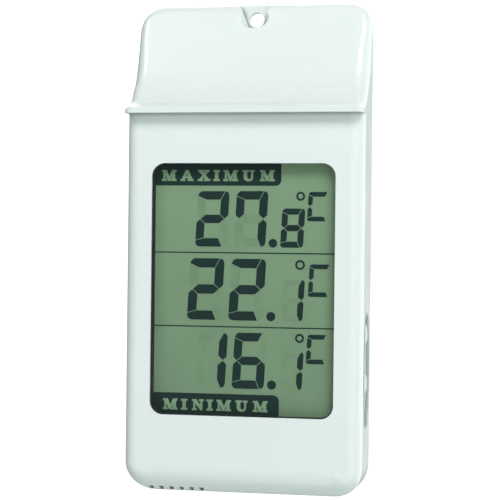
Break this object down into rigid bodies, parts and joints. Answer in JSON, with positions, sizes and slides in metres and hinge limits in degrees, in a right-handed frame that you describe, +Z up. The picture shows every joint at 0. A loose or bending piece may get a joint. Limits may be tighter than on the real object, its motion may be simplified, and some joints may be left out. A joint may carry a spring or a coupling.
{
  "type": "maximum minimum thermometer",
  "caption": "Wall-hung digital maximum minimum thermometer with a rain hood, large liquid crystal display, side push buttons and a sliding battery door.",
  "frame": {"origin": "where the hanging hole's axis meets the flat back that lies on the wall", "axes": "+Z up the wall, -Y out of the wall towards the viewer, +X to the viewer's right"},
  "size_m": [0.0731, 0.0245, 0.15],
  "materials": {
    "casing": "glossy moulded white",
    "back_casing": "satin moulded white",
    "lens": "clear polished",
    "gasket": "matt black foam",
    "polariser": "clear film",
    "display_glass": "clear polished",
    "reflector": "grey green satin film",
    "frame_plastic": "matt moulded",
    "zebra_rubber": "striped silicone",
    "board": "solder resist",
    "epoxy": "glossy black resin",
    "steel": "zinc plated",
    "spring_steel": "nickel plated",
    "capacitor": "ceramic",
    "bezel": "satin grey",
    "button": "glossy pale",
    "switch_body": "matt black",
    "plunger": "matt ivory",
    "cell": "printed sleeve, plain",
    "red_lead": "soft insulation",
    "black_lead": "soft insulation",
    "sensor": "epoxy bead",
    "tinned": "tinned copper"
  },
  "bodies": {
    "casing": {"front_shell": "casing", "rear_shell": "back_casing", "display_lens": "lens", "display_gasket": "gasket", "lcd_front_polariser": "polariser", "lcd_front_glass": "display_glass", "lcd_rear_glass": "display_glass", "lcd_reflector": "reflector", "lcd_frame": "frame_plastic", "upper_zebra_strip": "zebra_rubber", "lower_zebra_strip": "zebra_rubber", "circuit_board": "board", "controller_blob": "epoxy", "timing_crystal": "spring_steel", "chip_capacitors": "capacitor", "board_screws": "steel", "case_screws": "steel", "button_bezel": "bezel", "upper_switch": "switch_body", "lower_switch": "switch_body", "battery": "cell", "battery_spring": "spring_steel", "negative_contact": "spring_steel", "positive_contact": "spring_steel", "red_wire": "red_lead", "black_wire": "black_lead", "sensor_bead": "sensor", "sensor_leads": "tinned"},
    "upper_button": {"upper_button": "button", "upper_switch_plunger": "plunger"},
    "lower_button": {"lower_button": "button", "lower_switch_plunger": "plunger"},
    "battery_door": {"battery_door": "back_casing"}
  },
  "joints": [
    {"name": "upper_button_press", "type": "slide", "parent": "casing", "child": "upper_button", "axis": [-1, 0, 0], "range_m": [0, 0.0005], "stiffness_N_per_m": 2500},
    {"name": "lower_button_press", "type": "slide", "parent": "casing", "child": "lower_button", "axis": [-1, 0, 0], "range_m": [0, 0.0005], "stiffness_N_per_m": 2500},
    {"name": "battery_door_slide", "type": "slide", "parent": "casing", "child": "battery_door", "axis": [0, 0, -1], "range_m": [0, 0.022]}
  ]
}
